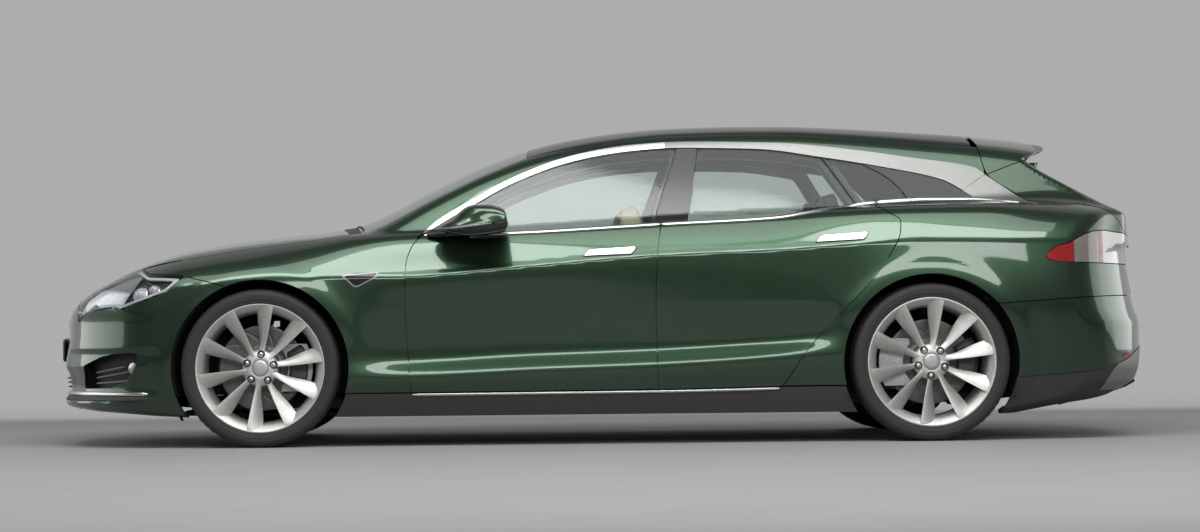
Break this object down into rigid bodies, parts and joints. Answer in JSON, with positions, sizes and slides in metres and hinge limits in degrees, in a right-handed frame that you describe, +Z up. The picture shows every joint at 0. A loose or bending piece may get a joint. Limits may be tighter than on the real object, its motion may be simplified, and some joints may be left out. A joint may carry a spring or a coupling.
{
  "type": "station wagon",
  "caption": "Five-door electric station wagon with opening doors, hood and tailgate, steered front wheels and a furnished cabin.",
  "frame": {"origin": "on the ground, at the centre of the bounding box seen from above", "axes": "+X towards the tail, +Y towards the right-hand side of the car, +Z up"},
  "size_m": [4.98, 2.228, 1.445],
  "materials": {
    "body_paint": "metallic green paint, clear coated",
    "dark_trim": "satin dark plastic",
    "glass": "tinted safety glass",
    "roof_glass": "dark panoramic glass, opaque",
    "lamp_clear": "clear lamp cover",
    "lamp_red": "red lamp cover",
    "tyre_rubber": "moulded rubber",
    "rim_alloy": "silver painted alloy",
    "brake_iron": "machined iron",
    "chassis_metal": "black coated steel",
    "knuckle_metal": "cast, oiled",
    "battery_shell": "pressed shell",
    "inner_metal": "thin paint over primer",
    "seat_cloth": "beige grained upholstery",
    "cabin_plastic": "grained plastic"
  },
  "bodies": {
    "body": {"battery_pack": "battery_shell", "body_side_left": "body_paint", "body_side_right": "body_paint", "console": "cabin_plastic", "dashboard": "cabin_plastic", "drive_units": "chassis_metal", "firewall": "inner_metal", "floor_pan": "inner_metal", "front_arch_liners": "dark_trim", "front_bumper": "body_paint", "front_fenders": "body_paint", "front_seats": "seat_cloth", "front_trunk_tub": "dark_trim", "front_undertray": "dark_trim", "headlights": "lamp_clear", "quarter_windows": "glass", "rear_bumper": "body_paint", "rear_knuckles": "knuckle_metal", "rear_seat": "seat_cloth", "roof_panel": "roof_glass", "subframes": "chassis_metal", "suspension": "chassis_metal", "taillights": "lamp_red", "windshield": "glass"},
    "hood": {"hood": "body_paint"},
    "tailgate": {"tailgate": "body_paint", "rear_window": "glass", "tailgate_lights": "lamp_red"},
    "steering_wheel": {"steering_wheel": "cabin_plastic"},
    "front_door_left": {"front_door_left": "body_paint", "front_door_glass_left": "glass", "mirror_left": "body_paint"},
    "rear_door_left": {"rear_door_left": "body_paint", "rear_door_glass_left": "glass"},
    "steered_knuckle_left": {"front_knuckle_left": "knuckle_metal"},
    "wheel_front_left": {"tyre_front_left": "tyre_rubber", "rim_front_left": "rim_alloy", "brake_disc_front_left": "brake_iron"},
    "wheel_rear_left": {"tyre_rear_left": "tyre_rubber", "rim_rear_left": "rim_alloy", "brake_disc_rear_left": "brake_iron"},
    "front_door_right": {"front_door_right": "body_paint", "front_door_glass_right": "glass", "mirror_right": "body_paint"},
    "rear_door_right": {"rear_door_right": "body_paint", "rear_door_glass_right": "glass"},
    "steered_knuckle_right": {"front_knuckle_right": "knuckle_metal"},
    "wheel_front_right": {"tyre_front_right": "tyre_rubber", "rim_front_right": "rim_alloy", "brake_disc_front_right": "brake_iron"},
    "wheel_rear_right": {"tyre_rear_right": "tyre_rubber", "rim_rear_right": "rim_alloy", "brake_disc_rear_right": "brake_iron"}
  },
  "joints": [
    {"name": "front_door_left_hinge", "type": "hinge", "parent": "body", "child": "front_door_left", "pos_m": [-0.8627, -0.969, 0.6], "axis": [0, 0, -1], "range_deg": [0, 68]},
    {"name": "rear_door_left_hinge", "type": "hinge", "parent": "body", "child": "rear_door_left", "pos_m": [0.2441, -0.969, 0.6], "axis": [0, 0, -1], "range_deg": [0, 66]},
    {"name": "front_door_right_hinge", "type": "hinge", "parent": "body", "child": "front_door_right", "pos_m": [-0.8627, 0.969, 0.6], "axis": [0, 0, 1], "range_deg": [0, 68]},
    {"name": "rear_door_right_hinge", "type": "hinge", "parent": "body", "child": "rear_door_right", "pos_m": [0.2441, 0.969, 0.6], "axis": [0, 0, 1], "range_deg": [0, 66]},
    {"name": "hood_hinge", "type": "hinge", "parent": "body", "child": "hood", "pos_m": [-1.123, 0, 0.98], "axis": [0, 1, 0], "range_deg": [0, 58]},
    {"name": "tailgate_hinge", "type": "hinge", "parent": "body", "child": "tailgate", "pos_m": [1.704, 0, 1.394], "axis": [0, -1, 0], "range_deg": [0, 78]},
    {"name": "steer_left", "type": "hinge", "parent": "body", "child": "steered_knuckle_left", "pos_m": [-1.52, -0.831, 0.35], "axis": [0, 0, 1], "range_deg": [-34, 34]},
    {"name": "steer_right", "type": "hinge", "parent": "body", "child": "steered_knuckle_right", "pos_m": [-1.52, 0.831, 0.35], "axis": [0, 0, 1], "range_deg": [-34, 34]},
    {"name": "steering_wheel_turn", "type": "hinge", "parent": "body", "child": "steering_wheel", "pos_m": [-0.56, -0.375, 0.88], "axis": [0.9063, 0, 0.4226], "range_deg": [-442, 442]},
    {"name": "wheel_front_left_spin", "type": "hinge", "parent": "steered_knuckle_left", "child": "wheel_front_left", "pos_m": [-1.52, -0.831, 0.35], "axis": [0, 1, 0], "continuous": true},
    {"name": "wheel_rear_left_spin", "type": "hinge", "parent": "body", "child": "wheel_rear_left", "pos_m": [1.44, -0.85, 0.35], "axis": [0, 1, 0], "continuous": true},
    {"name": "wheel_front_right_spin", "type": "hinge", "parent": "steered_knuckle_right", "child": "wheel_front_right", "pos_m": [-1.52, 0.831, 0.35], "axis": [0, 1, 0], "continuous": true},
    {"name": "wheel_rear_right_spin", "type": "hinge", "parent": "body", "child": "wheel_rear_right", "pos_m": [1.44, 0.85, 0.35], "axis": [0, 1, 0], "continuous": true}
  ],
  "couplings": [
    {"joint": "steer_right", "follows": "steer_left", "ratio": 1},
    {"joint": "steering_wheel_turn", "follows": "steer_left", "ratio": 13}
  ]
}
